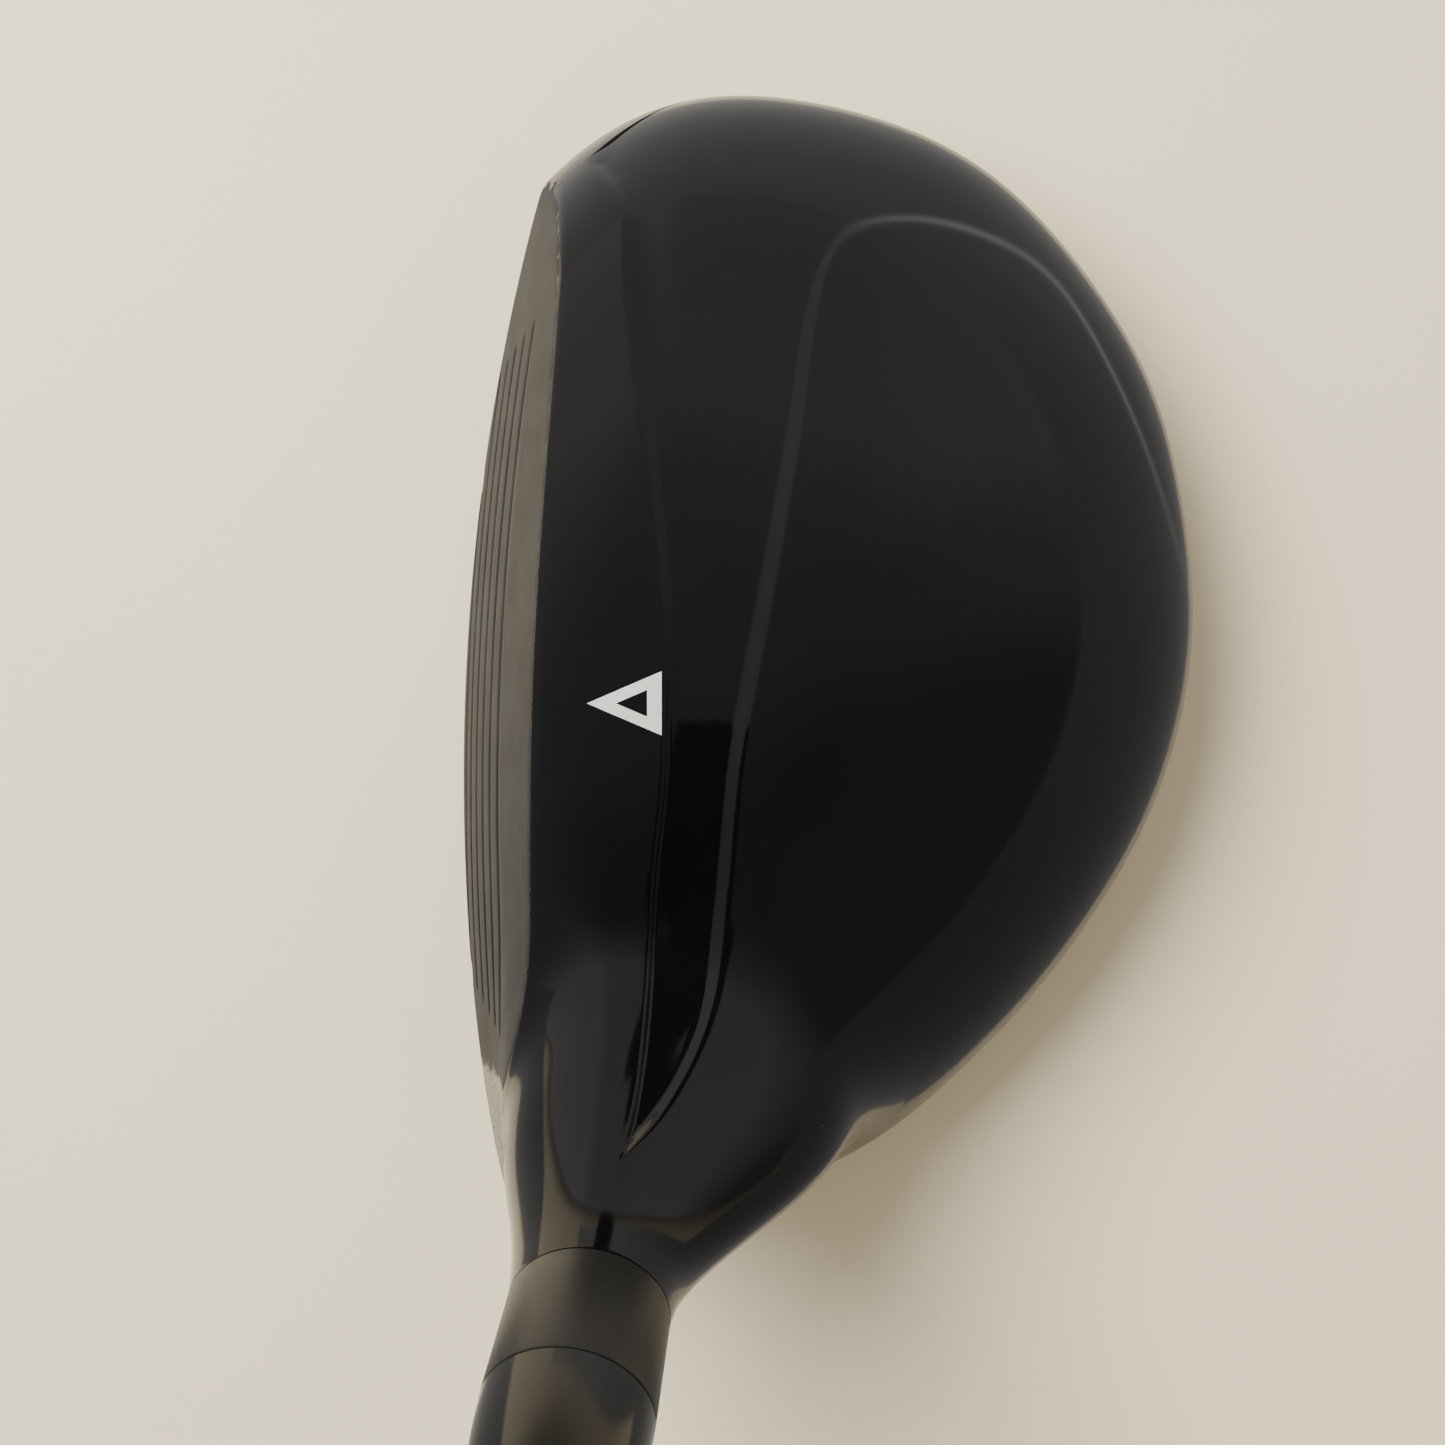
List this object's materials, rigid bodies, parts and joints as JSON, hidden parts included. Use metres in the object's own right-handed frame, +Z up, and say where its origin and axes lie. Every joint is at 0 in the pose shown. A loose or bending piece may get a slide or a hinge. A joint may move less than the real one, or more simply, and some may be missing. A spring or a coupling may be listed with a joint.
{
  "type": "hybrid golf club",
  "caption": "Right-handed hybrid golf club: hollow stepped-crown head with grooved face, clamped loft sleeve, tapered shaft and rubber grip, at address.",
  "frame": {"origin": "the flat land in the middle of the sole, on the ground", "axes": "+Z up, +Y towards the toe, -X towards the target (the face), shaft rising towards -Y at the lie angle"},
  "size_m": [0.0692, 0.5984, 0.8922],
  "materials": {
    "graphite": "satin clear coat over black carbon fibre",
    "brass": "turned",
    "foam": "foamed",
    "tape": "crepe paper tape",
    "grip_rubber": "matte moulded texture",
    "cap_rubber": "matte moulded",
    "ferrule_plastic": "polished black",
    "anodised_aluminium": "satin black anodised",
    "fastener_steel": "turned, dark zinc",
    "head_paint": "gloss black paint under clear coat",
    "face_steel": "worn satin brushed",
    "crown_paint": "gloss black paint under clear coat",
    "badge_metal": "satin, plain",
    "ballast": "sintered",
    "hot_melt": "cast glue",
    "retainer_plastic": "nylon",
    "weight_metal": "satin"
  },
  "bodies": {
    "shaft_assembly": {"shaft": "graphite", "swing_weight_plug": "brass", "butt_plug": "foam", "grip_tape": "tape", "grip": "grip_rubber", "grip_cap": "cap_rubber", "ferrule": "ferrule_plastic", "adapter_sleeve": "anodised_aluminium", "thread_insert": "fastener_steel"},
    "head": {"head_body": "head_paint", "face_insert": "face_steel", "crown_shell": "crown_paint", "sole_badge": "badge_metal", "tungsten_bar": "ballast", "hot_melt_pad": "hot_melt", "bolt_retainer": "retainer_plastic"},
    "bolt_carrier": {"bolt_washer": "fastener_steel"},
    "bolt": {"hosel_bolt": "fastener_steel"},
    "weight_carrier": {"weight_washer": "retainer_plastic"},
    "weight": {"rear_weight": "weight_metal"}
  },
  "joints": [
    {"name": "head_release", "type": "slide", "parent": "shaft_assembly", "child": "head", "axis": [0, 0.5, -0.866], "range_m": [0, 0.04]},
    {"name": "bolt_travel", "type": "slide", "parent": "head", "child": "bolt_carrier", "axis": [0, 0.5, -0.866], "range_m": [0, 0.0064]},
    {"name": "bolt_turn", "type": "hinge", "parent": "bolt_carrier", "child": "bolt", "pos_m": [-0.01, -0.026, 0.01536], "axis": [0, 0.5, -0.866], "range_deg": [0, 2880]},
    {"name": "weight_travel", "type": "slide", "parent": "head", "child": "weight_carrier", "axis": [0.2756, 0, -0.9613], "range_m": [0, 0.006]},
    {"name": "weight_turn", "type": "hinge", "parent": "weight_carrier", "child": "weight", "pos_m": [0.023, 0.004, 0.0016], "axis": [0.2756, 0, -0.9613], "range_deg": [0, 2160]}
  ],
  "couplings": [
    {"joint": "bolt_turn", "follows": "bolt_travel", "rad_per_m": 7854},
    {"joint": "weight_turn", "follows": "weight_travel", "rad_per_m": 6283.2}
  ]
}
